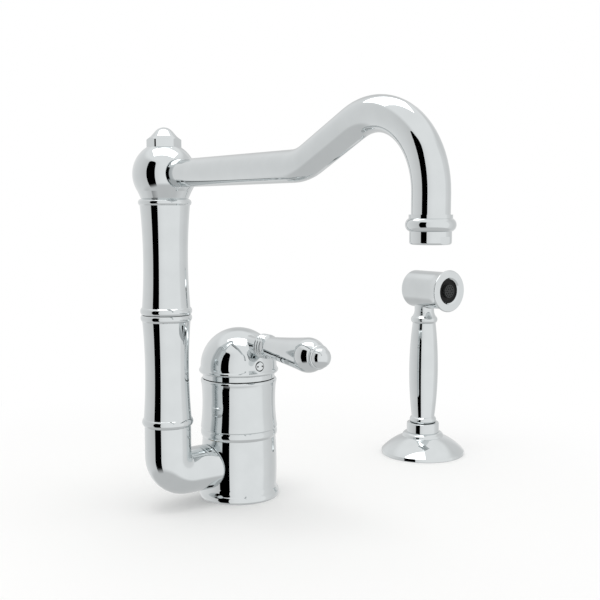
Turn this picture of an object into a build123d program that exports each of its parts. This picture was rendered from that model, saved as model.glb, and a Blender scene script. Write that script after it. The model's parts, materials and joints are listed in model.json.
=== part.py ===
from build123d import *
import os
from math import asin, cos, degrees, radians, sin, sqrt, tan

os.makedirs("parts", exist_ok=True)

# Single-handle kitchen faucet with a hooked spout on its own column and a matching side spray.
# Millimetres. Origin: valve body axis on the deck. +Z up, the user stands on the -Y side.

# Places on the deck
column_x = -63.0
spray_x = 203.2
spray_y = 2.5

# Clearances
slip = 0.05  # radial, a piece that slides or turns in another
seam = 0.5  # open line between two chrome pieces that move on each other
play = 0.3  # free gap between pieces that must never touch

# Valve body: lower drum and upper sleeve
base_ring_h = 5.2
body_spigot_r = 25.5
ring_land = 4.7  # width of the ring's top, which the drum stands on
ring_lip = 1.05
drum_r = 29.35
drum_neck_r = 28.5
middle_bead_r = 29.75
middle_bead_h = 6.4
middle_seam_z = 53.8
barrel_r = 24.0
sleeve_foot_r = 29.75
sleeve_waist_r = 28.35
sleeve_bead_r = 29.55
sleeve_bead_h = 6.5
body_top_z = 93.0
gasket_w = 2.2
gasket_t = 1.6
gasket_inset = 1.2

# Ports in the underside
inlet_thread_r = 4.6
inlet_depth = 14.0
inlet_r = 3.2
inlet_x = 8.0
inlet_y = 9.0
mixed_x = -8.0
mixed_r = 4.0
stud_thread_r = 3.4
stud_depth = 12.0
stud_x = -4.0
stud_y = 19.0

# Ceramic cartridge
cartridge_r = 20.0
cartridge_floor_z = 47.0
cartridge_floor_t = 4.0
cartridge_wall = 1.6
cartridge_h = 32.0
cap_t = 4.0
cap_spigot = 2.5
cap_neck_r = 13.4
cap_neck_h = 6.0
nut_r = 22.4
nut_h = 8.5
disc_t = 5.0
moving_disc_r = 13.0
socket_r = 5.5
ball_r = 2.8
ball_z = 69.0
socket_lip = 1.5

# Handle: turning yoke, tilting dome and lever
pivot_z = 97.6
lift_angle = 15.0
yoke_r = 10.0
yoke_flange_r = 12.5
yoke_flange_t = 2.0
yoke_rise = 3.1
tongue_w = 5.8
tongue_l = 8.0
pin_r = 1.5
arm_r = 2.6
stem_r = 4.0
stem_top_z = 116.0
collar_r = 27.95
collar_h = 4.4
collar_foot_r = 26.6
seal_recess = 0.5
cover_r = 25.5
cover_top_z = 103.5
cover_wall = 1.6
dome_r = 29.55
dome_z = 102.5
dome_wall = 2.35
skirt_r = 30.75
skirt_edge_r = 30.2
skirt_in_r = 29.2
cone_rise = 3.2
boss_r = 8.0
plug_r = 3.8
plug_groove = 0.5
plug_step = 1.2
plug_z = 105.2
plug_proud = 0.3
plug_floor = 10.0
plug_dot_r = 0.7
plug_dot_x = 2.0
screw_r = 1.5

# Lever along -Y; distances from the valve body axis
lever_z = 121.6
lever_shank_r = 4.0
shank_start = 2.0
lever_neck_r = 5.2
neck_spigot_r = 4.6
neck_start = 10.0
neck_root = 13.0
neck_root_r = 6.5
neck_waist = 26.0
neck_end = 32.8
lever_ring_r = 9.2
lever_valley_r = 8.3
lever_ring_w = 3.05
lever_rings = 3
ferrule_r = 8.95
ferrule_w = 3.4
rod_r = 3.0
rod_end = 56.0
grip_start_r = 7.9
grip_ridge_r = 12.4
grip_ridge = 89.0
grip_end_r = 8.3
grip_end = 100.2
tip_ring_r = 8.8
tip_ring_w = 2.4
tip_end = 110.8

# Elbow from the valve body to the column
elbow_r = 17.15
elbow_wall = 2.4
elbow_z = 26.4
elbow_bend = 14.2
elbow_edge = 0.7
nipple_l = 24.0
nipple_wall = 2.2
port_floor_x = -17.0

# Column
elbow_top_z = 63.5
swivel_z = 146.3
column_top_z = 230.9
column_bore_r = 13.0
column_bead_r = 18.9
column_bead_h = 6.0
column_end_r = 17.6
lower_waist_r = 16.1
upper_waist_r = 16.24
crown_bead_r = 19.25
crown_bead_h = 4.6
crown_r = 18.1
spigot_l = 10.0
bush_wall = 2.9
bush_l = 25.0
bush_flange_r = 17.2
swivel_tube_wall = 2.5
swivel_grip = 26.0
ring_section = 1.3
clip_t = 1.2
clip_r = 12.4

# Ball hub and finial
hub_r = 23.0
spout_z = 248.7
hub_foot_r = 17.0
hub_tangent_drop = 12.2
hub_bore_r = 10.0
face_recess_r = 10.3
face_recess = 4.2
socket_floor = 8.0
finial_hex_r = 12.58
finial_ball_r = 9.0
finial_h = 14.0
finial_slope = 43.0
finial_corner = 0.6
finial_stud_r = 5.0
finial_stud_l = 9.0

# Spout
spout_r = 9.8
spout_wall = 1.5
spout_reach = 272.3
spout_straight = 158.4
rise_radius = 41.4
rise_angle = 24.5
hook_radius = 41.8
outlet_top_z = 220.7

# Outlet
step_ring_r = 10.9
step_ring_h = 1.9
bead_ring_r = 12.65
bead_ring_h = 6.4
aerator_r = 10.5
aerator_h = 6.5
aerator_wall = 2.0
aerator_thread_r = 9.15
aerator_thread_h = 1.6
aerator_edge = 1.3
washer_t = 0.9
flat_w = 6.4
flat_h = 4.0
insert_hole_r = 0.8
insert_pitch = 3.0

# Spray holder
flange_r = 37.6
flange_rim = 3.1
flange_shoulder_r = 18.9
flange_shoulder_z = 16.3
flange_sag_r = 30.1
flange_sag_z = 10.0
flange_wall = 2.6
holder_r = 14.65
holder_foot_z = 20.2
holder_top_z = 28.9
holder_round = 1.0
bushing_r = 11.55
bushing_wall = 1.65
bushing_floor_z = 3.5
holder_gasket_t = 1.4
holder_gasket_w = 3.5

# Spray
tail_play = 0.3
tail_drop = 24.0
hose_thread_r = 6.6
hose_depth = 12.0
water_r = 4.0
grip_spigot_r = 7.0
grip_spigot_l = 14.0
foot_bead_r = 12.05
foot_bead_h = 5.4
hand_end_r = 10.35
hand_r = 13.0
hand_top_z = 120.8
neck_bead_r = 12.0
neck_bead_h = 5.6
neck_bead_top_r = 11.0
neck_r = 8.8
neck_flare_h = 6.5
neck_fillet = 1.0
head_z = 151.55
head_r = 16.6
head_back = 14.0
head_back_round = 2.5
head_front = 28.3
head_flare = 7.0
head_lip_r = 17.7
face_r = 18.55
face_t = 3.0
face_hole_r = 10.7
face_bevel = 1.3
head_cavity_r = 13.5
head_back_wall = 8.0
nozzle_t = 6.0
nozzle_r = 5.8
nozzle_proud = 0.4
nozzle_recess = 0.2
jet_r = 0.55
seat_t = 3.0
seat_x = 6.0
seat_hole_r = 4.2
button_r = 7.9
button_proud = 5.5
button_flange_r = 10.0
button_flange_t = 1.2
valve_stem_r = 2.0
valve_washer_r = 6.2
valve_washer_t = 2.0

# Axes and drawing planes
column_axis = Axis((column_x, 0, 0), (0, 0, 1))
spray_axis = Axis((spray_x, spray_y, 0), (0, 0, 1))
outlet_axis = Axis((column_x, -spout_reach, 0), (0, 0, 1))
lever_axis = Axis((0, 0, lever_z), (0, -1, 0))
head_axis = Axis((spray_x, spray_y, head_z), (0, -1, 0))
column_side = Plane(origin=(column_x, 0, 0), x_dir=(1, 0, 0), z_dir=(0, -1, 0))
spray_side = Plane(origin=(spray_x, spray_y, 0), x_dir=(1, 0, 0), z_dir=(0, -1, 0))
outlet_side = Plane(origin=(column_x, -spout_reach, 0), x_dir=(1, 0, 0), z_dir=(0, -1, 0))
# In these three, x runs forward along -Y and y runs up
lever_side = Plane(origin=(0, 0, lever_z), x_dir=(0, -1, 0), z_dir=(-1, 0, 0))
head_side = Plane(origin=(spray_x, spray_y, head_z), x_dir=(0, -1, 0), z_dir=(-1, 0, 0))
spout_side = Plane(origin=(column_x, 0, spout_z), x_dir=(0, -1, 0), z_dir=(-1, 0, 0))

# Heights and radii that follow from the sizes above
foot_r = body_spigot_r + ring_land
base_ring_r = foot_r + ring_lip
cartridge_in_r = cartridge_r - cartridge_wall
fixed_disc_z = cartridge_floor_z + cartridge_floor_t
moving_disc_z = fixed_disc_z + disc_t + slip
cap_z = cartridge_floor_z + cartridge_h
cap_top_z = cap_z + cap_t
cap_neck_z = cap_top_z + cap_neck_h
yoke_top_z = pivot_z + yoke_rise
tilt = radians(lift_angle)
slot_half = (pivot_z - cap_z + cap_spigot) * sin(tilt) + arm_r + play
disc_travel = (pivot_z - ball_z) * sin(tilt)
nipple_r = elbow_r - elbow_wall - slip
swivel_top_z = swivel_z + seam
bush_out_r = column_bore_r + 1.0
swivel_r = bush_out_r - bush_wall - slip
swivel_in_r = swivel_r - swivel_tube_wall
hub_top_z = spout_z + sqrt(hub_r**2 - finial_hex_r**2)
tip_start = grip_end
ferrule_start = neck_end + lever_rings * lever_ring_w
grip_start = ferrule_start + ferrule_w
aerator_top_z = outlet_top_z - step_ring_h - bead_ring_h
tube_end_z = aerator_top_z + aerator_thread_h + washer_t
holder_bore_r = bushing_r - bushing_wall
tail_r = holder_bore_r - tail_play
spray_z = holder_top_z + slip
neck_z = hand_top_z + neck_bead_h

# Chrome ring under the body, with a groove for the deck gasket
with BuildPart() as base_ring:
    with BuildSketch(Plane.XZ):
        with BuildLine():
            foot = Line((body_spigot_r + slip, 0), (base_ring_r - 0.5, 0))
            rim = ThreePointArc(foot @ 1, (base_ring_r, base_ring_h / 2), (foot_r, base_ring_h))
            Polyline(rim @ 1, (body_spigot_r + slip, base_ring_h), foot @ 0)
        make_face()
    revolve(axis=Axis.Z)
    with BuildSketch(Plane.XY):
        Circle(foot_r - gasket_inset)
        Circle(foot_r - gasket_inset - gasket_w, mode=Mode.SUBTRACT)
    extrude(amount=gasket_t, mode=Mode.SUBTRACT)
base_ring.part.label = "base_ring"
export_step(base_ring.part, "parts/base_ring.step")

with BuildPart() as base_gasket:
    with BuildSketch(Plane.XY):
        Circle(foot_r - gasket_inset - slip)
        Circle(foot_r - gasket_inset - gasket_w + slip, mode=Mode.SUBTRACT)
    extrude(amount=gasket_t)
base_gasket.part.label = "base_gasket"
export_step(base_gasket.part, "parts/base_gasket.step")

# Lower drum of the valve body with the inner barrel that holds the cartridge
with BuildPart() as valve_body:
    with BuildSketch(Plane.XZ):
        with BuildLine():
            bottom = Polyline(
                (0, 0), (body_spigot_r, 0), (body_spigot_r, base_ring_h), (foot_r, base_ring_h)
            )
            flare = ThreePointArc(
                bottom @ 1, (drum_r - 0.1, base_ring_h + 2.0), (drum_r - 0.25, base_ring_h + 5)
            )
            drum_top = middle_seam_z - middle_bead_h
            drum = ThreePointArc(
                flare @ 1, (drum_r, (base_ring_h + drum_top) / 2), (drum_neck_r, drum_top)
            )
            bead = ThreePointArc(
                drum @ 1,
                (middle_bead_r, middle_seam_z - 0.35 * middle_bead_h),
                (drum_neck_r + 0.4, middle_seam_z),
            )
            Polyline(
                bead @ 1,
                (barrel_r, middle_seam_z),
                (barrel_r, body_top_z - seam),
                (0, body_top_z - seam),
                (0, 0),
            )
        make_face()
    revolve(axis=Axis.Z)
    # Pocket for the cartridge and the thread of its nut
    with BuildSketch(Plane.XY.offset(cartridge_floor_z)):
        Circle(cartridge_r + slip)
    extrude(amount=body_top_z - cartridge_floor_z, mode=Mode.SUBTRACT)
    with BuildSketch(Plane.XY.offset(cap_top_z)):
        Circle(nut_r + slip)
    extrude(amount=body_top_z - cap_top_z, mode=Mode.SUBTRACT)
    # Hot and cold ways up to the cartridge
    with BuildSketch(Plane.XY):
        with Locations((inlet_x, inlet_y), (inlet_x, -inlet_y)):
            Circle(inlet_r)
    extrude(amount=cartridge_floor_z, mode=Mode.SUBTRACT)
    with BuildSketch(Plane.XY):
        with Locations((inlet_x, inlet_y), (inlet_x, -inlet_y), (mixed_x, 0)):
            Circle(inlet_thread_r)
    extrude(amount=inlet_depth, mode=Mode.SUBTRACT)
    # Mixed water down to the side port and to the spray hose
    with BuildSketch(Plane.XY):
        with Locations((mixed_x, 0)):
            Circle(mixed_r)
    extrude(amount=cartridge_floor_z, mode=Mode.SUBTRACT)
    with BuildSketch(Plane(origin=(mixed_x, 0, elbow_z), x_dir=(0, 1, 0), z_dir=(-1, 0, 0))):
        Circle(mixed_r)
    extrude(amount=drum_r, mode=Mode.SUBTRACT)
    with BuildSketch(Plane(origin=(port_floor_x, 0, elbow_z), x_dir=(0, 1, 0), z_dir=(-1, 0, 0))):
        Circle(nipple_r + slip)
    extrude(amount=drum_r, mode=Mode.SUBTRACT)
    # Threaded holes for the mounting studs
    with BuildSketch(Plane.XY):
        with Locations((stud_x, stud_y), (stud_x, -stud_y)):
            Circle(stud_thread_r)
    extrude(amount=stud_depth, mode=Mode.SUBTRACT)
valve_body.part.label = "valve_body"
export_step(valve_body.part, "parts/valve_body.step")

# Waisted outer sleeve over the barrel
with BuildPart() as body_sleeve:
    with BuildSketch(Plane.XZ):
        with BuildLine():
            foot = Line((barrel_r + slip, middle_seam_z), (drum_neck_r + 0.4, middle_seam_z))
            edge = ThreePointArc(
                foot @ 1, (sleeve_foot_r - 0.15, middle_seam_z + 0.5), (sleeve_foot_r, middle_seam_z + 1.3)
            )
            waist_z = (middle_seam_z + body_top_z) / 2
            waist = ThreePointArc(
                edge @ 1, (sleeve_waist_r, waist_z), (sleeve_waist_r + 0.4, body_top_z - sleeve_bead_h)
            )
            swell = TangentArc(waist @ 1, (sleeve_bead_r, body_top_z - 2.0), tangent=waist % 1)
            crown = ThreePointArc(
                swell @ 1, (sleeve_bead_r - 0.2, body_top_z - 0.8), (sleeve_bead_r - 0.95, body_top_z)
            )
            Polyline(crown @ 1, (barrel_r + slip, body_top_z), foot @ 0)
        make_face()
    revolve(axis=Axis.Z)
body_sleeve.part.label = "body_sleeve"
export_step(body_sleeve.part, "parts/body_sleeve.step")

# Collar that stands on the sleeve and closes the inside with a spherical zone about the lever pivot
with BuildPart() as cover_collar:
    collar_z = body_top_z + seam
    collar_top = collar_z + collar_h
    with BuildSketch(Plane.XZ):
        with BuildLine():
            foot = Polyline(
                (cover_r - cover_wall, body_top_z),
                (collar_foot_r, body_top_z),
                (collar_foot_r, collar_z),
                (collar_r, collar_z),
                (collar_r, collar_top - 0.6),
                (collar_r - 0.6, collar_top),
                (sqrt(cover_r**2 - (collar_top - pivot_z) ** 2), collar_top),
            )
            zone_in_r = cover_r - cover_wall
            mid_z = (collar_top + cover_top_z) / 2
            zone = ThreePointArc(
                foot @ 1,
                (sqrt(cover_r**2 - (mid_z - pivot_z) ** 2), mid_z),
                (sqrt(cover_r**2 - (cover_top_z - pivot_z) ** 2), cover_top_z),
            )
            inner_top = (sqrt(zone_in_r**2 - (cover_top_z - pivot_z) ** 2), cover_top_z)
            Line(zone @ 1, inner_top)
            ThreePointArc(
                inner_top, (sqrt(zone_in_r**2 - (mid_z - pivot_z) ** 2), mid_z), (zone_in_r, pivot_z)
            )
            Line((zone_in_r, pivot_z), foot @ 0)
        make_face()
    revolve(axis=Axis.Z)
cover_collar.part.label = "cover_collar"
export_step(cover_collar.part, "parts/cover_collar.step")

# Black seal in the open line between the sleeve and the collar
with BuildPart() as collar_seal:
    with BuildSketch(Plane.XY.offset(body_top_z)):
        Circle(collar_r - seal_recess)
        Circle(collar_foot_r + slip, mode=Mode.SUBTRACT)
    extrude(amount=seam - slip)
collar_seal.part.label = "collar_seal"
export_step(collar_seal.part, "parts/collar_seal.step")

# Cartridge housing: cup with three ports in its floor
with BuildPart() as cartridge_body:
    with BuildSketch(Plane.XY.offset(cartridge_floor_z)):
        Circle(cartridge_r)
    extrude(amount=cartridge_h)
    with BuildSketch(Plane.XY.offset(fixed_disc_z)):
        Circle(cartridge_in_r)
    extrude(amount=cartridge_h, mode=Mode.SUBTRACT)
    with BuildSketch(Plane.XY.offset(cartridge_floor_z)):
        with Locations((inlet_x, inlet_y), (inlet_x, -inlet_y), (mixed_x, 0)):
            Circle(inlet_r)
    extrude(amount=cartridge_floor_t, mode=Mode.SUBTRACT)
cartridge_body.part.label = "cartridge_body"
export_step(cartridge_body.part, "parts/cartridge_body.step")

with BuildPart() as fixed_disc:
    with BuildSketch(Plane.XY.offset(fixed_disc_z)):
        Circle(cartridge_in_r - slip)
        with Locations((inlet_x, inlet_y), (inlet_x, -inlet_y), (mixed_x, 0)):
            Circle(inlet_r, mode=Mode.SUBTRACT)
    extrude(amount=disc_t)
fixed_disc.part.label = "fixed_disc"
export_step(fixed_disc.part, "parts/fixed_disc.step")

# Sliding disc with the socket that the stem's ball end drives
with BuildPart() as moving_disc:
    with BuildSketch(Plane.XY.offset(moving_disc_z)):
        with Locations((0, disc_travel / 2)):
            Circle(moving_disc_r)
    extrude(amount=disc_t)
    with BuildSketch(Plane.XY.offset(moving_disc_z + disc_t)):
        Circle(socket_r)
    extrude(amount=ball_z + socket_lip - moving_disc_z - disc_t)
    with BuildSketch(Plane.XY.offset(ball_z - ball_r - 1.0)):
        Circle(ball_r + 3 * slip)
    extrude(amount=2 * ball_r + 2, mode=Mode.SUBTRACT)
moving_disc.part.label = "moving_disc"
export_step(moving_disc.part, "parts/moving_disc.step")

with BuildPart() as cartridge_cap:
    with BuildSketch(Plane.XZ):
        with BuildLine():
            Polyline(
                (yoke_r + slip, cap_z - cap_spigot),
                (cartridge_in_r - slip, cap_z - cap_spigot),
                (cartridge_in_r - slip, cap_z),
                (cartridge_r, cap_z),
                (cartridge_r, cap_top_z),
                (cap_neck_r, cap_top_z),
                (cap_neck_r, cap_neck_z),
                (yoke_r + slip, cap_neck_z),
                close=True,
            )
        make_face()
    revolve(axis=Axis.Z)
cartridge_cap.part.label = "cartridge_cap"
export_step(cartridge_cap.part, "parts/cartridge_cap.step")

# Brass nut that holds the cartridge down, with four spanner slots
with BuildPart() as cartridge_nut:
    with BuildSketch(Plane.XY.offset(cap_top_z)):
        Circle(nut_r)
        Circle(cap_neck_r + play, mode=Mode.SUBTRACT)
    extrude(amount=nut_h)
    with BuildSketch(Plane.XY.offset(cap_top_z + nut_h)):
        Rectangle(2 * nut_r + 2, 4)
        Rectangle(4, 2 * nut_r + 2)
    extrude(amount=-2.5, mode=Mode.SUBTRACT)
cartridge_nut.part.label = "cartridge_nut"
export_step(cartridge_nut.part, "parts/cartridge_nut.step")

# Yoke that turns in the cartridge and carries the lever's pivot pin
with BuildPart() as yoke:
    with BuildSketch(Plane.XY.offset(cap_z - cap_spigot)):
        Circle(yoke_r)
    extrude(amount=yoke_top_z - cap_z + cap_spigot)
    with BuildSketch(Plane.XY.offset(cap_neck_z + slip)):
        Circle(yoke_flange_r)
    extrude(amount=yoke_flange_t)
    with BuildSketch(Plane.XY.offset(cap_z - cap_spigot)):
        Rectangle(tongue_w + 4 * slip, 2 * slot_half)
    extrude(amount=yoke_top_z - cap_z + cap_spigot, mode=Mode.SUBTRACT)
    with BuildSketch(Plane.YZ.offset(-yoke_r)):
        with Locations((0, pivot_z)):
            Circle(pin_r)
    extrude(amount=2 * yoke_r, mode=Mode.SUBTRACT)
yoke.part.label = "yoke"
export_step(yoke.part, "parts/yoke.step")

with BuildPart() as pivot_pin:
    with BuildSketch(Plane.YZ.offset(0.6 - yoke_r)):
        with Locations((0, pivot_z)):
            Circle(pin_r)
    extrude(amount=2 * yoke_r - 1.2)
pivot_pin.part.label = "pivot_pin"
export_step(pivot_pin.part, "parts/pivot_pin.step")

# Cartridge stem: rod up into the dome, tongue on the pin, arm with a ball end below
with BuildPart() as stem:
    rod_z = pivot_z + (yoke_rise + 2 * slip + stem_r * sin(tilt)) / cos(tilt) + play
    with BuildSketch(Plane.XY.offset(rod_z)):
        Circle(stem_r)
    extrude(amount=stem_top_z - rod_z)
    with BuildSketch(Plane.XY.offset(pivot_z - tongue_l / 2)):
        Rectangle(tongue_w, tongue_l)
    extrude(amount=rod_z - pivot_z + tongue_l / 2)
    with BuildSketch(Plane.XY.offset(ball_z)):
        Circle(arm_r - 0.8)
    extrude(amount=pivot_z - ball_z)
    with BuildSketch(Plane.XY.offset(ball_z + ball_r + 2)):
        Circle(arm_r)
    extrude(amount=pivot_z - ball_z - ball_r - 2)
    with BuildSketch(Plane.XZ):
        with BuildLine():
            ThreePointArc((0, ball_z - ball_r), (ball_r, ball_z), (0, ball_z + ball_r))
            Line((0, ball_z + ball_r), (0, ball_z - ball_r))
        make_face()
    revolve(axis=Axis.Z)
    with BuildSketch(Plane.YZ.offset(-tongue_w)):
        with Locations((0, pivot_z)):
            Circle(pin_r + slip)
    extrude(amount=2 * tongue_w, mode=Mode.SUBTRACT)
stem.part.label = "stem"
export_step(stem.part, "parts/stem.step")

# Hollow dome with its flared skirt, relieved at the back so that it can tip over the collar
with BuildPart() as dome_cap:
    skirt_z = pivot_z
    in_r = dome_r - dome_wall
    cone_angle = degrees(asin(cone_rise / in_r))
    with BuildSketch(Plane.XZ):
        with BuildLine():
            edge = Line((skirt_in_r, skirt_z), (skirt_edge_r - 0.4, skirt_z))
            lip = ThreePointArc(
                edge @ 1, (skirt_r - 0.15, skirt_z + 0.9), (skirt_r, skirt_z + 2.3)
            )
            flare = ThreePointArc(lip @ 1, (dome_r + 0.4, dome_z - 1.2), (dome_r, dome_z))
            shell = CenterArc((0, dome_z), dome_r, 0, 90)
            drop = Line(shell @ 1, (0, dome_z + in_r))
            cave = CenterArc((0, dome_z), in_r, 90, cone_angle - 90)
            Line(cave @ 1, edge @ 0)
        make_face()
    revolve(axis=Axis.Z)
    boss_z = pivot_z + (yoke_rise + boss_r * sin(tilt)) / cos(tilt) + play
    with BuildSketch(Plane.XY.offset(boss_z)):
        Circle(boss_r)
    extrude(amount=dome_z + in_r - boss_z)
    # Socket for the stem
    with BuildSketch(Plane.XY.offset(boss_z)):
        Circle(stem_r + slip)
    extrude(amount=stem_top_z - boss_z, mode=Mode.SUBTRACT)
    # Way in for the lever's spigot and its threaded shank
    with BuildSketch(Plane.XZ.offset(neck_start)):
        with Locations((0, lever_z)):
            Circle(neck_spigot_r + slip)
    extrude(amount=dome_r, mode=Mode.SUBTRACT)
    with BuildSketch(Plane.XZ.offset(shank_start)):
        with Locations((0, lever_z)):
            Circle(lever_shank_r + slip)
    extrude(amount=neck_start - shank_start, mode=Mode.SUBTRACT)
    # Index plug hole and the set screw behind it
    with BuildSketch(Plane.XZ.offset(plug_floor)):
        with Locations((0, plug_z)):
            Circle(plug_r + slip)
    extrude(amount=dome_r, mode=Mode.SUBTRACT)
    with BuildSketch(Plane.XZ):
        with Locations((0, plug_z)):
            Circle(screw_r + slip)
    extrude(amount=plug_floor, mode=Mode.SUBTRACT)
    # Relief at the back of the skirt
    relief_drop = pivot_z - body_top_z - 1.5 * play
    relief = Plane(
        origin=(0, 0, pivot_z - relief_drop / cos(tilt)),
        x_dir=(1, 0, 0),
        z_dir=(0, -sin(tilt), cos(tilt)),
    )
    with BuildSketch(relief):
        Rectangle(4 * dome_r, 4 * dome_r)
    extrude(amount=-dome_r, mode=Mode.SUBTRACT)
dome_cap.part.label = "dome_cap"
export_step(dome_cap.part, "parts/dome_cap.step")

with BuildPart() as set_screw:
    with BuildSketch(Plane.XZ.offset(stem_r + slip)):
        with Locations((0, plug_z)):
            Circle(screw_r)
    extrude(amount=boss_r - stem_r - 1.0)
    with BuildSketch(Plane.XZ.offset(boss_r - 1.0 + slip)):
        with Locations((0, plug_z)):
            RegularPolygon(0.5 * screw_r, 6)
    extrude(amount=-1.5, mode=Mode.SUBTRACT)
set_screw.part.label = "set_screw"
export_step(set_screw.part, "parts/set_screw.step")

# Index plug with its two small marks, stepped for the seal round its face
with BuildPart() as index_plug:
    plug_face = sqrt(dome_r**2 - (plug_z - dome_z) ** 2) + plug_proud
    with BuildSketch(Plane.XZ.offset(plug_face)):
        with Locations((0, plug_z)):
            Circle(plug_r - plug_groove)
    extrude(amount=-plug_step)
    chamfer(index_plug.edges().filter_by(GeomType.CIRCLE).sort_by(Axis.Y)[0], 0.3)
    with BuildSketch(Plane.XZ.offset(plug_face - plug_step)):
        with Locations((0, plug_z)):
            Circle(plug_r)
    extrude(amount=plug_step - dome_wall - plug_proud)
    with BuildSketch(Plane.XZ.offset(plug_face)):
        with Locations((plug_dot_x, plug_z), (-plug_dot_x, plug_z)):
            Circle(plug_dot_r)
    extrude(amount=-0.5, mode=Mode.SUBTRACT)
index_plug.part.label = "index_plug"
export_step(index_plug.part, "parts/index_plug.step")

with BuildPart() as plug_seal:
    with BuildSketch(Plane.XZ.offset(plug_face - plug_step)):
        with Locations((0, plug_z)):
            Circle(plug_r)
            Circle(plug_r - plug_groove + slip, mode=Mode.SUBTRACT)
    extrude(amount=0.45 * plug_step)
plug_seal.part.label = "plug_seal"
export_step(plug_seal.part, "parts/plug_seal.step")

# Lever: neck flared onto the dome, with a spigot and shank inside it and the grip's rod at the other end
with BuildPart() as lever_stem:
    with BuildSketch(lever_side):
        with BuildLine():
            root = Line((neck_root, 0), (neck_root, neck_root_r))
            mid_r = lever_neck_r + 0.3 * (neck_root_r - lever_neck_r)
            flare = ThreePointArc(
                root @ 1, ((neck_root + neck_waist) / 2, mid_r), (neck_waist, lever_neck_r)
            )
            Polyline(flare @ 1, (neck_end, lever_neck_r), (neck_end, 0), root @ 0)
        make_face()
    revolve(axis=lever_axis)
    with Locations((0, 0, dome_z)):
        Sphere(dome_r + slip, mode=Mode.SUBTRACT)
    with BuildSketch(lever_side):
        with BuildLine():
            Polyline(
                (shank_start, 0),
                (shank_start, lever_shank_r),
                (neck_start, lever_shank_r),
                (neck_start, neck_spigot_r),
                (neck_waist, neck_spigot_r),
                (neck_waist, rod_r),
                (rod_end, rod_r),
                (rod_end, 0),
                close=True,
            )
        make_face()
    revolve(axis=lever_axis)
lever_stem.part.label = "lever_stem"
export_step(lever_stem.part, "parts/lever_stem.step")

# Ferrule: three fine rings and a collar that tapers to the grip
with BuildPart() as lever_ferrule:
    with BuildSketch(lever_side):
        with BuildLine():
            start = Line((neck_end, rod_r + slip), (neck_end, lever_valley_r))
            for i in range(lever_rings):
                ring_x = neck_end + i * lever_ring_w
                ThreePointArc(
                    (ring_x, lever_valley_r),
                    (ring_x + lever_ring_w / 2, lever_ring_r),
                    (ring_x + lever_ring_w, lever_valley_r),
                )
            step = Line((ferrule_start, lever_valley_r), (ferrule_start, ferrule_r))
            taper = ThreePointArc(
                step @ 1,
                (ferrule_start + ferrule_w / 2, grip_start_r + 0.42 * (ferrule_r - grip_start_r)),
                (grip_start, grip_start_r),
            )
            Polyline(taper @ 1, (grip_start, rod_r + slip), start @ 0)
        make_face()
    revolve(axis=lever_axis)
lever_ferrule.part.label = "lever_ferrule"
export_step(lever_ferrule.part, "parts/lever_ferrule.step")

# Trumpet-shaped grip with its rounded shoulder
with BuildPart() as lever_grip:
    with BuildSketch(lever_side):
        with BuildLine():
            start = Line((grip_start, 0), (grip_start, grip_start_r))
            mid_r = grip_start_r + 0.44 * (grip_ridge_r - grip_start_r)
            taper = ThreePointArc(
                start @ 1, ((grip_start + grip_ridge) / 2, mid_r), (grip_ridge, grip_ridge_r)
            )
            shoulder = ThreePointArc(
                taper @ 1,
                (grip_ridge + 0.62 * (grip_end - grip_ridge), grip_ridge_r - 1.3),
                (grip_end, grip_end_r),
            )
            Polyline(shoulder @ 1, (grip_end, 0), (grip_start, 0))
        make_face()
    revolve(axis=lever_axis)
    with BuildSketch(Plane.XZ.offset(grip_start)):
        with Locations((0, lever_z)):
            Circle(rod_r + slip)
    extrude(amount=rod_end - grip_start, mode=Mode.SUBTRACT)
    with BuildSketch(Plane.XZ.offset(grip_end)):
        with Locations((0, lever_z)):
            Circle(rod_r + slip)
    extrude(amount=-2 * rod_r, mode=Mode.SUBTRACT)
lever_grip.part.label = "lever_grip"
export_step(lever_grip.part, "parts/lever_grip.step")

# End cap with a step ring and an ogive nose
with BuildPart() as lever_tip:
    with BuildSketch(lever_side):
        with BuildLine():
            peg = Polyline(
                (tip_start - 2 * rod_r, 0),
                (tip_start - 2 * rod_r, rod_r),
                (tip_start, rod_r),
                (tip_start, grip_end_r - 0.4),
                (tip_start + 0.8, grip_end_r - 0.4),
            )
            ring = ThreePointArc(
                peg @ 1,
                (tip_start + 0.8 + tip_ring_w / 2, tip_ring_r),
                (tip_start + 0.8 + tip_ring_w, tip_ring_r - 1.1),
            )
            nose_l = tip_end - tip_start - 0.8 - tip_ring_w
            nose_r = (nose_l**2 + (tip_ring_r - 1.1) ** 2) / (2 * nose_l)
            nose_angle = degrees(asin((nose_l - nose_r) / nose_r))
            nose = CenterArc((tip_end - nose_r, 0), nose_r, 0, 90 + nose_angle)
            Line(nose @ 0, peg @ 0)
        make_face()
    revolve(axis=lever_axis)
lever_tip.part.label = "lever_tip"
export_step(lever_tip.part, "parts/lever_tip.step")

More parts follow.
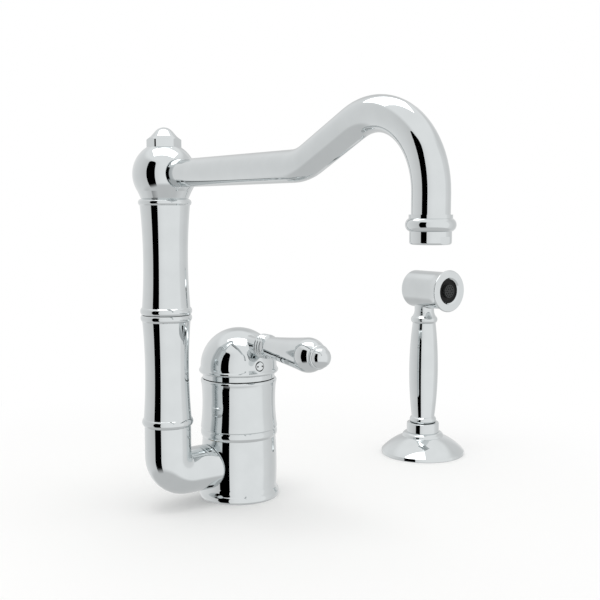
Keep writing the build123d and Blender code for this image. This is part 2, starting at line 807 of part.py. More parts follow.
# Cast elbow with a tight inner corner, coped onto the round body
with BuildPart() as elbow:
    knuckle = Plane(origin=(column_x, 0, elbow_z + elbow_bend), x_dir=(1, 0, 0), z_dir=(0, 0, 1))
    branch = Plane(origin=(column_x + elbow_bend, 0, elbow_z), x_dir=(0, 1, 0), z_dir=(1, 0, 0))
    knuckle_axis = Axis((column_x + elbow_bend, 0, elbow_z + elbow_bend), (0, -1, 0))
    for tube_r, tube_mode in ((elbow_r, Mode.ADD), (elbow_r - elbow_wall, Mode.SUBTRACT)):
        with BuildSketch(knuckle):
            Circle(tube_r)
            with Locations((elbow_bend + elbow_r, 0)):
                Rectangle(2 * elbow_r, 4 * elbow_r, mode=Mode.SUBTRACT)
        revolve(axis=knuckle_axis, revolution_arc=90, mode=tube_mode)
        with BuildSketch(knuckle):
            Circle(tube_r)
        extrude(amount=elbow_top_z - elbow_z - elbow_bend, mode=tube_mode)
        with BuildSketch(branch):
            Circle(tube_r)
        extrude(amount=-column_x - elbow_bend, mode=tube_mode)
    with BuildSketch(Plane.XY):
        Circle(drum_r + slip)
    extrude(amount=elbow_top_z, mode=Mode.SUBTRACT)
    fillet(elbow.edges().group_by(Axis.X)[-1], radius=elbow_edge)
elbow.part.label = "elbow"
export_step(elbow.part, "parts/elbow.step")

# Nipple that joins the elbow to the side port
with BuildPart() as elbow_nipple:
    with BuildSketch(Plane(origin=(port_floor_x, 0, elbow_z), x_dir=(0, 1, 0), z_dir=(-1, 0, 0))):
        Circle(nipple_r)
        Circle(nipple_r - nipple_wall, mode=Mode.SUBTRACT)
    extrude(amount=nipple_l)
elbow_nipple.part.label = "elbow_nipple"
export_step(elbow_nipple.part, "parts/elbow_nipple.step")

# Lower half of the column, with a spigot into the elbow and a counterbore for the swivel bush
with BuildPart() as column_lower:
    with BuildSketch(column_side):
        with BuildLine():
            spigot = Polyline(
                (column_bore_r, elbow_top_z - spigot_l),
                (nipple_r, elbow_top_z - spigot_l),
                (nipple_r, elbow_top_z),
                (elbow_r, elbow_top_z),
            )
            foot_bead = ThreePointArc(
                spigot @ 1,
                (column_bead_r, elbow_top_z + 0.52 * column_bead_h),
                (column_end_r, elbow_top_z + column_bead_h),
            )
            waist = ThreePointArc(
                foot_bead @ 1,
                (lower_waist_r, (elbow_top_z + swivel_z) / 2),
                (column_end_r, swivel_z - 0.8 * column_bead_h),
            )
            head_bead = ThreePointArc(
                waist @ 1,
                (column_bead_r - 0.1, swivel_z - 0.33 * column_bead_h),
                (column_end_r + 0.4, swivel_z),
            )
            Polyline(
                head_bead @ 1,
                (bush_out_r, swivel_z),
                (bush_out_r, swivel_z - bush_l),
                (column_bore_r, swivel_z - bush_l),
                spigot @ 0,
            )
        make_face()
    revolve(axis=column_axis)
column_lower.part.label = "column_lower"
export_step(column_lower.part, "parts/column_lower.step")

# Swivel bush with a thin flange that the upper half turns on
with BuildPart() as swivel_bush:
    with BuildSketch(column_side):
        with BuildLine():
            Polyline(
                (swivel_r + slip, swivel_z - bush_l),
                (bush_out_r - slip, swivel_z - bush_l),
                (bush_out_r - slip, swivel_z),
                (bush_flange_r, swivel_z),
                (bush_flange_r, swivel_top_z - slip),
                (swivel_r + slip, swivel_top_z - slip),
                close=True,
            )
        make_face()
    revolve(axis=column_axis)
swivel_bush.part.label = "swivel_bush"
export_step(swivel_bush.part, "parts/swivel_bush.step")

# Upper half of the column
with BuildPart() as column_upper:
    with BuildSketch(column_side):
        with BuildLine():
            floor = Line((column_bore_r, swivel_top_z), (column_end_r + 0.4, swivel_top_z))
            foot_bead = ThreePointArc(
                floor @ 1,
                (column_bead_r, swivel_top_z + 0.33 * column_bead_h),
                (column_end_r, swivel_top_z + 0.85 * column_bead_h),
            )
            waist = ThreePointArc(
                foot_bead @ 1,
                (upper_waist_r, (swivel_top_z + column_top_z) / 2),
                (crown_r, column_top_z - crown_bead_h),
            )
            crown = ThreePointArc(
                waist @ 1,
                (crown_bead_r, column_top_z - 0.45 * crown_bead_h),
                (hub_foot_r + 0.3, column_top_z),
            )
            Polyline(crown @ 1, (column_bore_r, column_top_z), floor @ 0)
        make_face()
    revolve(axis=column_axis)
column_upper.part.label = "column_upper"
export_step(column_upper.part, "parts/column_upper.step")

# Brass swivel tube: fixed in the upper half, turning in the bush
ring_zs = (swivel_z - 0.35 * bush_l, swivel_z - 0.7 * bush_l)
clip_z = swivel_z - bush_l - slip - clip_t
with BuildPart() as swivel_tube:
    with BuildSketch(column_side):
        with BuildLine():
            Polyline(
                (swivel_in_r, clip_z - 1.5),
                (swivel_r, clip_z - 1.5),
                (swivel_r, swivel_top_z),
                (column_bore_r - slip, swivel_top_z),
                (column_bore_r - slip, swivel_top_z + swivel_grip),
                (swivel_in_r, swivel_top_z + swivel_grip),
                close=True,
            )
        make_face()
    revolve(axis=column_axis)
    # Grooves for the two seal rings and the clip
    with BuildSketch(column_side):
        with Locations((swivel_r, ring_zs[0]), (swivel_r, ring_zs[1])):
            Rectangle(2 * (ring_section + slip), ring_section + play)
        with Locations((swivel_r, clip_z + clip_t / 2)):
            Rectangle(2 * ring_section, clip_t)
    revolve(axis=column_axis, mode=Mode.SUBTRACT)
swivel_tube.part.label = "swivel_tube"
export_step(swivel_tube.part, "parts/swivel_tube.step")

with BuildPart() as swivel_seals:
    with BuildSketch(column_side):
        with Locations(
            (swivel_r - ring_section / 2, ring_zs[0]), (swivel_r - ring_section / 2, ring_zs[1])
        ):
            Circle(ring_section / 2)
    revolve(axis=column_axis)
swivel_seals.part.label = "swivel_seals"
export_step(swivel_seals.part, "parts/swivel_seals.step")

# Open clip under the bush
with BuildPart() as swivel_clip:
    with BuildSketch(Plane(origin=(column_x, 0, clip_z), x_dir=(1, 0, 0), z_dir=(0, 0, 1))):
        Circle(clip_r)
        Circle(swivel_r - ring_section, mode=Mode.SUBTRACT)
        with Locations((0, clip_r)):
            Rectangle(5.0, clip_r, mode=Mode.SUBTRACT)
    extrude(amount=clip_t)
swivel_clip.part.label = "swivel_clip"
export_step(swivel_clip.part, "parts/swivel_clip.step")

# Ball hub on the column, with a narrow recess in front round the spout
with BuildPart() as ball_hub:
    tangent_r = sqrt(hub_r**2 - hub_tangent_drop**2)
    with BuildSketch(column_side):
        with BuildLine():
            spigot = Polyline(
                (hub_bore_r, column_top_z - spigot_l),
                (column_bore_r - slip, column_top_z - spigot_l),
                (column_bore_r - slip, column_top_z),
                (hub_foot_r, column_top_z),
                (tangent_r, spout_z - hub_tangent_drop),
            )
            globe = ThreePointArc(spigot @ 1, (hub_r, spout_z), (finial_hex_r, hub_top_z))
            stud_floor = hub_top_z - finial_stud_l
            Polyline(
                globe @ 1,
                (finial_stud_r + slip, hub_top_z),
                (finial_stud_r + slip, stud_floor),
                (hub_bore_r, stud_floor),
                spigot @ 0,
            )
        make_face()
    revolve(axis=column_axis)
    with BuildSketch(Plane.XZ.offset(hub_r)):
        with Locations((column_x, spout_z)):
            Circle(face_recess_r)
    extrude(amount=-face_recess, mode=Mode.SUBTRACT)
    with BuildSketch(Plane.XZ.offset(hub_r)):
        with Locations((column_x, spout_z)):
            Circle(spout_r + slip)
    extrude(amount=socket_floor - hub_r, mode=Mode.SUBTRACT)
    with BuildSketch(Plane.XZ):
        with Locations((column_x, spout_z)):
            Circle(spout_r - spout_wall)
    extrude(amount=socket_floor, mode=Mode.SUBTRACT)
ball_hub.part.label = "ball_hub"
export_step(ball_hub.part, "parts/ball_hub.step")

# Hexagonal acorn nut with a threaded stud
with BuildPart() as finial:
    with BuildSketch(Plane(origin=(column_x, 0, hub_top_z), x_dir=(1, 0, 0), z_dir=(0, 0, 1))):
        RegularPolygon(finial_hex_r, 6, rotation=30)
    extrude(amount=finial_h)
    fillet(finial.edges().filter_by(Axis.Z), radius=finial_corner)
    with BuildSketch(column_side):
        with BuildLine():
            ball_at = hub_top_z + finial_h - finial_ball_r
            acorn = CenterArc((0, ball_at), finial_ball_r, 90, finial_slope - 180 + 90)
            side_r = finial_hex_r + 0.4
            chamfer_z = (acorn @ 1).Y - (side_r - (acorn @ 1).X) * tan(radians(finial_slope))
            Polyline(acorn @ 1, (side_r, chamfer_z), (side_r, hub_top_z), (0, hub_top_z), acorn @ 0)
        make_face()
    revolve(axis=column_axis, mode=Mode.INTERSECT)
    with BuildSketch(Plane(origin=(column_x, 0, hub_top_z), x_dir=(1, 0, 0), z_dir=(0, 0, 1))):
        Circle(finial_stud_r)
    extrude(amount=0.5 - finial_stud_l)
finial.part.label = "finial"
export_step(finial.part, "parts/finial.step")

# Spout: straight run, short rise and hook
with BuildPart() as spout_tube:
    rise = radians(rise_angle)
    slope = (
        spout_reach - spout_straight - rise_radius * sin(rise) - hook_radius * (1 + sin(rise))
    ) / cos(rise)
    with BuildLine(spout_side) as spout_path:
        run = Line((socket_floor, 0), (spout_straight, 0))
        lift = JernArc(run @ 1, run % 1, rise_radius, rise_angle)
        ramp = PolarLine(lift @ 1, slope, direction=lift % 1)
        hook = JernArc(ramp @ 1, ramp % 1, hook_radius, -90 - rise_angle)
        Line(hook @ 1, (spout_reach, tube_end_z - spout_z))
    with BuildSketch(Plane(origin=(column_x, -socket_floor, spout_z), z_dir=(0, -1, 0))):
        Circle(spout_r)
        Circle(spout_r - spout_wall, mode=Mode.SUBTRACT)
    sweep(path=spout_path.line)
spout_tube.part.label = "spout_tube"
export_step(spout_tube.part, "parts/spout_tube.step")

# Outlet fitting: step ring and half-round bead on the end of the spout
with BuildPart() as outlet_ring:
    with BuildSketch(outlet_side):
        with BuildLine():
            step = Polyline(
                (spout_r + slip, tube_end_z),
                (spout_r + slip, outlet_top_z),
                (step_ring_r, outlet_top_z),
                (step_ring_r, outlet_top_z - step_ring_h),
            )
            bead = ThreePointArc(
                step @ 1,
                (bead_ring_r, aerator_top_z + bead_ring_h / 2),
                (aerator_r, aerator_top_z),
            )
            Polyline(
                bead @ 1,
                (aerator_thread_r + slip, aerator_top_z),
                (aerator_thread_r + slip, tube_end_z),
                step @ 0,
            )
        make_face()
    revolve(axis=outlet_axis)
outlet_ring.part.label = "outlet_ring"
export_step(outlet_ring.part, "parts/outlet_ring.step")

with BuildPart() as aerator_washer:
    with BuildSketch(Plane(origin=(column_x, -spout_reach, tube_end_z), x_dir=(1, 0, 0), z_dir=(0, 0, 1))):
        Circle(aerator_thread_r)
        Circle(aerator_thread_r - 2.0, mode=Mode.SUBTRACT)
    extrude(amount=-washer_t)
aerator_washer.part.label = "aerator_washer"
export_step(aerator_washer.part, "parts/aerator_washer.step")

# Aerator housing with two spanner flats
with BuildPart() as aerator_housing:
    aerator_z = aerator_top_z - aerator_h
    aerator_in_r = aerator_r - aerator_wall
    with BuildSketch(outlet_side):
        with BuildLine():
            lip = Line((aerator_in_r, aerator_z), (aerator_r - aerator_edge, aerator_z))
            round_edge = ThreePointArc(
                lip @ 1,
                (aerator_r - 0.3 * aerator_edge, aerator_z + 0.3 * aerator_edge),
                (aerator_r, aerator_z + aerator_edge),
            )
            Polyline(
                round_edge @ 1,
                (aerator_r, aerator_top_z),
                (aerator_thread_r, aerator_top_z),
                (aerator_thread_r, aerator_top_z + aerator_thread_h),
                (aerator_in_r - 0.6, aerator_top_z + aerator_thread_h),
                (aerator_in_r - 0.6, aerator_top_z),
                (aerator_in_r, aerator_top_z),
                lip @ 0,
            )
        make_face()
    revolve(axis=outlet_axis)
    flat_y = sqrt(aerator_r**2 - (flat_w / 2) ** 2)
    with BuildSketch(Plane(origin=(column_x, -spout_reach, aerator_z), x_dir=(1, 0, 0), z_dir=(0, 0, 1))):
        with Locations((0, flat_y + 2), (0, -flat_y - 2)):
            Rectangle(2 * flat_w, 4)
    extrude(amount=flat_h, mode=Mode.SUBTRACT)
aerator_housing.part.label = "aerator_housing"
export_step(aerator_housing.part, "parts/aerator_housing.step")

# Aerator insert with its field of small holes
with BuildPart() as aerator_insert:
    with BuildSketch(
        Plane(origin=(column_x, -spout_reach, aerator_top_z), x_dir=(1, 0, 0), z_dir=(0, 0, 1))
    ):
        Circle(aerator_in_r - slip)
        with HexLocations(insert_pitch / 2, 5, 5):
            Circle(insert_hole_r, mode=Mode.SUBTRACT)
    extrude(amount=-aerator_h + 1.0)
aerator_insert.part.label = "aerator_insert"
export_step(aerator_insert.part, "parts/aerator_insert.step")

# Spray holder: domed flange, shoulder and collar, hollow underneath
with BuildPart() as spray_holder:
    with BuildSketch(spray_side):
        with BuildLine():
            rim = Polyline(
                (bushing_r + slip, 0), (flange_r - 0.3, 0), (flange_r, 0.4), (flange_r, flange_rim)
            )
            dome = ThreePointArc(
                rim @ 1, (flange_sag_r, flange_sag_z), (flange_shoulder_r, flange_shoulder_z)
            )
            shoulder = ThreePointArc(
                dome @ 1,
                (flange_shoulder_r - 0.7, (flange_shoulder_z + holder_foot_z) / 2 + 0.1),
                (holder_r, holder_foot_z),
            )
            side = Line(shoulder @ 1, (holder_r, holder_top_z - holder_round))
            lip = RadiusArc(side @ 1, (holder_r - holder_round, holder_top_z), -holder_round)
            Polyline(lip @ 1, (bushing_r + slip, holder_top_z), rim @ 0)
        make_face()
    revolve(axis=spray_axis)
    with BuildSketch(spray_side):
        with BuildLine():
            tube_r = bushing_r + 2 * flange_wall
            floor = Line((tube_r, 0), (flange_r - flange_wall, 0))
            wall = Line(floor @ 1, (flange_r - flange_wall, flange_rim))
            under = ThreePointArc(
                wall @ 1,
                (flange_sag_r - 0.75 * flange_wall, flange_sag_z - 0.75 * flange_wall),
                (tube_r, flange_shoulder_z - flange_wall),
            )
            Line(under @ 1, floor @ 0)
        make_face()
    revolve(axis=spray_axis, mode=Mode.SUBTRACT)
spray_holder.part.label = "spray_holder"
export_step(spray_holder.part, "parts/spray_holder.step")

with BuildPart() as holder_gasket:
    with BuildSketch(Plane(origin=(spray_x, spray_y, 0), x_dir=(1, 0, 0), z_dir=(0, 0, 1))):
        Circle(flange_r - flange_wall - slip)
        Circle(flange_r - flange_wall - holder_gasket_w, mode=Mode.SUBTRACT)
    extrude(amount=holder_gasket_t)
holder_gasket.part.label = "holder_gasket"
export_step(holder_gasket.part, "parts/holder_gasket.step")

# Plastic bushing that the spray's tail drops into
with BuildPart() as holder_bushing:
    with BuildSketch(Plane(origin=(spray_x, spray_y, bushing_floor_z), x_dir=(1, 0, 0), z_dir=(0, 0, 1))):
        Circle(bushing_r)
        Circle(holder_bore_r, mode=Mode.SUBTRACT)
    extrude(amount=holder_top_z - bushing_floor_z)
holder_bushing.part.label = "holder_bushing"
export_step(holder_bushing.part, "parts/holder_bushing.step")

# Spray tail with the hose thread and a spigot into the grip
with BuildPart() as spray_tail:
    with BuildSketch(spray_side):
        with BuildLine():
            tail_z = spray_z - tail_drop
            Polyline(
                (hose_thread_r, tail_z),
                (tail_r - 0.6, tail_z),
                (tail_r, tail_z + 0.6),
                (tail_r, spray_z),
                (grip_spigot_r, spray_z),
                (grip_spigot_r, spray_z + grip_spigot_l),
                (water_r, spray_z + grip_spigot_l),
                (water_r, tail_z + hose_depth),
                (hose_thread_r, tail_z + hose_depth),
                close=True,
            )
        make_face()
    revolve(axis=spray_axis)
spray_tail.part.label = "spray_tail"
export_step(spray_tail.part, "parts/spray_tail.step")

# Turned grip: foot bead, swelling handle and neck bead
with BuildPart() as spray_grip:
    with BuildSketch(spray_side):
        with BuildLine():
            floor = Line((water_r, spray_z), (hand_end_r + 0.6, spray_z))
            foot_bead = ThreePointArc(
                floor @ 1, (foot_bead_r, spray_z + 0.48 * foot_bead_h), (hand_end_r, spray_z + foot_bead_h)
            )
            hand = ThreePointArc(
                foot_bead @ 1, (hand_r, (spray_z + foot_bead_h + hand_top_z) / 2), (hand_end_r, hand_top_z)
            )
            neck_bead = ThreePointArc(
                hand @ 1, (neck_bead_r, hand_top_z + 0.55 * neck_bead_h), (neck_bead_top_r, neck_z)
            )
            Polyline(neck_bead @ 1, (water_r, neck_z), floor @ 0)
        make_face()
    revolve(axis=spray_axis)
    with BuildSketch(Plane(origin=(spray_x, spray_y, spray_z), x_dir=(1, 0, 0), z_dir=(0, 0, 1))):
        Circle(grip_spigot_r + slip)
    extrude(amount=grip_spigot_l, mode=Mode.SUBTRACT)
spray_grip.part.label = "spray_grip"
export_step(spray_grip.part, "parts/spray_grip.step")

# Spray head: barrel along -Y on a short flared neck
with BuildPart() as spray_head:
    with BuildSketch(head_side):
        with BuildLine():
            back = Line((-head_back, 0), (-head_back, head_r - head_back_round))
            back_round = RadiusArc(back @ 1, (head_back_round - head_back, head_r), head_back_round)
            top = Line(back_round @ 1, (head_front - head_flare, head_r))
            flare = TangentArc(top @ 1, (head_front, head_lip_r), tangent=top % 1)
            Polyline(flare @ 1, (head_front, 0), back @ 0)
        make_face()
    revolve(axis=head_axis)
    with BuildSketch(spray_side):
        with BuildLine():
            floor = Line((0, neck_z), (neck_bead_top_r - 0.2, neck_z))
            flare = ThreePointArc(
                floor @ 1, (neck_r + 0.55, neck_z + 0.42 * neck_flare_h), (neck_r, neck_z + neck_flare_h)
            )
            Polyline(flare @ 1, (neck_r, head_z), (0, head_z), floor @ 0)
        make_face()
    revolve(axis=spray_axis)
    fillet(spray_head.edges(Select.NEW), radius=neck_fillet)
    # Chamber, button bore and water way
    with BuildSketch(Plane.XZ.offset(-spray_y + head_front)):
        with Locations((spray_x, head_z)):
            Circle(head_cavity_r)
    extrude(amount=head_back_wall - head_back - head_front, mode=Mode.SUBTRACT)
    with BuildSketch(Plane.XZ.offset(-spray_y)):
        with Locations((spray_x, head_z)):
            Circle(button_r + slip)
    extrude(amount=-head_back, mode=Mode.SUBTRACT)
    with BuildSketch(Plane(origin=(spray_x, spray_y, neck_z), x_dir=(1, 0, 0), z_dir=(0, 0, 1))):
        Circle(water_r)
    extrude(amount=head_z - neck_z, mode=Mode.SUBTRACT)
spray_head.part.label = "spray_head"
export_step(spray_head.part, "parts/spray_head.step")

# Face ring that carries on the flare and frames the nozzle
with BuildPart() as spray_face_ring:
    with BuildSketch(head_side):
        with BuildLine():
            seat = Line((head_front, face_hole_r), (head_front, head_lip_r))
            flare = Line(seat @ 1, (head_front + 0.5 * face_t, face_r))
            edge = ThreePointArc(
                flare @ 1,
                (head_front + 0.85 * face_t, face_r - 0.15),
                (head_front + face_t, face_r - 0.9),
            )
            Polyline(
                edge @ 1,
                (head_front + face_t, face_hole_r + face_bevel),
                (head_front + face_t - face_bevel, face_hole_r),
                seat @ 0,
            )
        make_face()
    revolve(axis=head_axis)
spray_face_ring.part.label = "spray_face_ring"
export_step(spray_face_ring.part, "parts/spray_face_ring.step")

# Plastic nozzle ring: disc in the chamber with a low boss in the face ring
with BuildPart() as nozzle_ring:
    with BuildSketch(Plane.XZ.offset(-spray_y + head_front)):
        with Locations((spray_x, head_z)):
            Circle(head_cavity_r - slip)
    extrude(amount=-nozzle_t)
    with BuildSketch(Plane.XZ.offset(-spray_y + head_front)):
        with Locations((spray_x, head_z)):
            Circle(face_hole_r - slip)
    extrude(amount=nozzle_proud)
    with BuildSketch(Plane.XZ.offset(-spray_y + head_front - nozzle_t)):
        with Locations((spray_x, head_z)):
            Circle(nozzle_r + slip)
    extrude(amount=nozzle_t + nozzle_proud, mode=Mode.SUBTRACT)
nozzle_ring.part.label = "nozzle_ring"
export_step(nozzle_ring.part, "parts/nozzle_ring.step")

# Nozzle plate with two rings of jets, nearly level with the face ring
with BuildPart() as nozzle_plate:
    with BuildSketch(Plane.XZ.offset(-spray_y + head_front - nozzle_t)):
        with Locations((spray_x, head_z)):
            Circle(nozzle_r)
            with PolarLocations(0.38 * nozzle_r, 6):
                Circle(jet_r, mode=Mode.SUBTRACT)
            with PolarLocations(0.75 * nozzle_r, 12):
                Circle(jet_r, mode=Mode.SUBTRACT)
    extrude(amount=nozzle_t + face_t - nozzle_recess)
nozzle_plate.part.label = "nozzle_plate"
export_step(nozzle_plate.part, "parts/nozzle_plate.step")

with BuildPart() as valve_seat:
    with BuildSketch(Plane.XZ.offset(-spray_y + seat_x)):
        with Locations((spray_x, head_z)):
            Circle(head_cavity_r - slip)
            Circle(seat_hole_r, mode=Mode.SUBTRACT)
    extrude(amount=seat_t)
valve_seat.part.label = "valve_seat"
export_step(valve_seat.part, "parts/valve_seat.step")

# Thumb button in the back of the head, kept in by its flange
with BuildPart() as spray_button:
    with BuildSketch(head_side):
        with BuildLine():
            wall_x = head_back_wall - head_back
            crown = ThreePointArc(
                (-head_back - button_proud, 0),
                (-head_back - 0.8 * button_proud, 0.62 * button_r),
                (-head_back - 0.4 * button_proud, button_r),
            )
            Polyline(
                crown @ 1,
                (wall_x + slip, button_r),
                (wall_x + slip, button_flange_r),
                (wall_x + slip + button_flange_t, button_flange_r),
                (wall_x + slip + button_flange_t, 0),
                crown @ 0,
            )
        make_face()
    revolve(axis=head_axis)
spray_button.part.label = "spray_button"
export_step(spray_button.part, "parts/spray_button.step")

# Valve stem from the button through the seat to the valve washer
with BuildPart() as valve_stem:
    with BuildSketch(head_side):
        with BuildLine():
            stem_x = wall_x + slip + button_flange_t
            washer_x = seat_x + seat_t + slip
            Polyline(
                (stem_x, 0),
                (stem_x, valve_stem_r),
                (washer_x + valve_washer_t, valve_stem_r),
                (washer_x + valve_washer_t, 0.7 * valve_washer_r),
                (washer_x + valve_washer_t + 1.0, 0.7 * valve_washer_r),
                (washer_x + valve_washer_t + 1.0, 0),
                close=True,
            )
        make_face()
    revolve(axis=head_axis)
valve_stem.part.label = "valve_stem"
export_step(valve_stem.part, "parts/valve_stem.step")

with BuildPart() as valve_washer:
    with BuildSketch(Plane.XZ.offset(-spray_y + washer_x)):
        with Locations((spray_x, head_z)):
            Circle(valve_washer_r)
            Circle(valve_stem_r, mode=Mode.SUBTRACT)
    extrude(amount=valve_washer_t)
valve_washer.part.label = "valve_washer"
export_step(valve_washer.part, "parts/valve_washer.step")
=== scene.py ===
import json
import math

import bmesh
import bpy
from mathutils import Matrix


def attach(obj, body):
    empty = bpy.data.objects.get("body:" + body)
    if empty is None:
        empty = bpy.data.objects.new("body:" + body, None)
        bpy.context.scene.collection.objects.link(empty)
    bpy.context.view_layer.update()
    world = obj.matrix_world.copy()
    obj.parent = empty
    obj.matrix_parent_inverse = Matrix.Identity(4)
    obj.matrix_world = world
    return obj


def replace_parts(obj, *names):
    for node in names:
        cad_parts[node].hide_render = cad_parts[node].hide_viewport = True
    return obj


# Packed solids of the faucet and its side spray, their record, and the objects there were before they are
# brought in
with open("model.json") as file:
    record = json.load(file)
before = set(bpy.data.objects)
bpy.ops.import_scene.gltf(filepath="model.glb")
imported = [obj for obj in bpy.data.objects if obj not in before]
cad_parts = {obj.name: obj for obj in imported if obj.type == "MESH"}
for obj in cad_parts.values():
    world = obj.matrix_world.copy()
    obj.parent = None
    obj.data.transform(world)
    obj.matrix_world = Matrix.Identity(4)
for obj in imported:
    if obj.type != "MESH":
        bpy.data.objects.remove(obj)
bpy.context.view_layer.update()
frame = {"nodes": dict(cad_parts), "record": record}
# One millimetre in metres: sizes of pieces are in millimetres, those of the studio in metres
MM = 0.001


def linear(hex_colour):
    """An sRGB hex colour as the linear RGBA that the shaders take."""
    channels = [int(hex_colour[i:i + 2], 16) / 255 for i in (0, 2, 4)]
    return [c / 12.92 if c <= 0.04045 else ((c + 0.055) / 1.055) ** 2.4 for c in channels] + [1.0]


def grey(level):
    """A linear grey as RGBA."""
    return (level, level, level, 1.0)


def per_mm(size):
    """Texture scale for a pattern whose features are that many millimetres across."""
    return 1.0 / (size * MM)


def add_node(tree, kind, sockets=None, links=None, stops=(), **settings):
    """Adds one node: the values of its sockets, what feeds them, a ramp's stops and its own settings."""
    made = tree.nodes.new(kind)
    for name, value in settings.items():
        setattr(made, name, value)
    for name, value in (sockets or {}).items():
        made.inputs[name].default_value = value
    for name, source in (links or {}).items():
        tree.links.new(source, made.inputs[name])
    if stops:
        ramp = made.color_ramp.elements
        ramp.remove(ramp[-1])
        ramp[0].position, ramp[0].color = stops[0]
        for place, colour in stops[1:]:
            ramp.new(place).color = colour
    return made


def new_material(name):
    """A material with an empty node tree, and the object's own coordinates in that tree."""
    material = bpy.data.materials.new(name)
    material.use_nodes = True
    tree = material.node_tree
    tree.nodes.clear()
    place = add_node(tree, "ShaderNodeTexCoord").outputs["Object"]
    return material, tree, place


def polished_chrome_plate():
    """Chromium plated on buffed brass: a cool mirror with a faint buffing haze and a hint of waviness."""
    haze_mm, swell_mm, swell_depth_mm = 14, 18, 0.3
    material, tree, place = new_material("polished_chrome_plate")
    haze = add_node(tree, "ShaderNodeTexNoise", {"Scale": per_mm(haze_mm), "Detail": 3.0, "Roughness": 0.5},
                    {"Vector": place})
    rough = add_node(tree, "ShaderNodeMapRange",
                     {"From Min": 0.35, "From Max": 0.7, "To Min": 0.006, "To Max": 0.02},
                     {"Value": haze.outputs["Fac"]})
    tone = add_node(tree, "ShaderNodeValToRGB", links={"Fac": haze.outputs["Fac"]},
                    stops=[(0.3, linear("D5D9DA")), (0.75, linear("DADEDF"))])
    swell = add_node(tree, "ShaderNodeTexNoise", {"Scale": per_mm(swell_mm), "Detail": 1.0, "Roughness": 0.3},
                     {"Vector": place})
    ripple = add_node(tree, "ShaderNodeBump", {"Strength": 0.02, "Distance": swell_depth_mm * MM},
                      {"Height": swell.outputs["Fac"]})
    shader = add_node(tree, "ShaderNodeBsdfPrincipled", {"Metallic": 1.0},
                      {"Base Color": tone.outputs["Color"], "Roughness": rough.outputs["Result"],
                       "Normal": ripple.outputs["Normal"]})
    add_node(tree, "ShaderNodeOutputMaterial", links={"Surface": shader.outputs["BSDF"]})
    return material


# Radians that a wave texture runs through for each unit of its scaled coordinate
WAVE_PHASE = 20


def turned_metal(name, dark, light, roughness, band_mm):
    """Lathe-turned metal: rings of tool marks and a slightly stained tone.

    Real feed marks are too fine to show, so they are drawn as bands that far apart.
    """
    stain_mm, band_depth_mm = 4, 0.05
    material, tree, place = new_material(name)
    bands = add_node(tree, "ShaderNodeTexWave",
                     {"Scale": per_mm(band_mm) * math.tau / WAVE_PHASE, "Distortion": 0.6, "Detail": 2.0},
                     {"Vector": place}, bands_direction="Z")
    stain = add_node(tree, "ShaderNodeTexNoise", {"Scale": per_mm(stain_mm), "Detail": 4.0},
                     {"Vector": place})
    tone = add_node(tree, "ShaderNodeValToRGB", links={"Fac": stain.outputs["Fac"]},
                    stops=[(0.0, linear(dark)), (1.0, linear(light))])
    rough = add_node(tree, "ShaderNodeMapRange", {"To Min": roughness * 0.8, "To Max": roughness * 1.25},
                     {"Value": bands.outputs["Fac"]})
    marks = add_node(tree, "ShaderNodeBump", {"Strength": 0.15, "Distance": band_depth_mm * MM},
                     {"Height": bands.outputs["Fac"]})
    shader = add_node(tree, "ShaderNodeBsdfPrincipled", {"Metallic": 1.0},
                      {"Base Color": tone.outputs["Color"], "Roughness": rough.outputs["Result"],
                       "Normal": marks.outputs["Normal"]})
    add_node(tree, "ShaderNodeOutputMaterial", links={"Surface": shader.outputs["BSDF"]})
    return material


def moulded(name, dark, light, roughness, ior, grain_mm, depth_mm, specular=0.5):
    """Moulded plastic, rubber or pressed ceramic: a fine skin grain and small changes of tone.

    The real grain is too fine to show, so it is drawn that coarse.
    """
    material, tree, place = new_material(name)
    grain = add_node(tree, "ShaderNodeTexNoise", {"Scale": per_mm(grain_mm), "Detail": 4.0, "Roughness": 0.6},
                     {"Vector": place})
    tone = add_node(tree, "ShaderNodeValToRGB", links={"Fac": grain.outputs["Fac"]},
                    stops=[(0.3, linear(dark)), (0.7, linear(light))])
    rough = add_node(tree, "ShaderNodeMapRange", {"To Min": roughness * 0.85, "To Max": roughness * 1.15},
                     {"Value": grain.outputs["Fac"]})
    skin = add_node(tree, "ShaderNodeBump", {"Strength": 0.3, "Distance": depth_mm * MM},
                    {"Height": grain.outputs["Fac"]})
    shader = add_node(tree, "ShaderNodeBsdfPrincipled", {"IOR": ior, "Specular IOR Level": specular},
                      {"Base Color": tone.outputs["Color"], "Roughness": rough.outputs["Result"],
                       "Normal": skin.outputs["Normal"]})
    add_node(tree, "ShaderNodeOutputMaterial", links={"Surface": shader.outputs["BSDF"]})
    return material


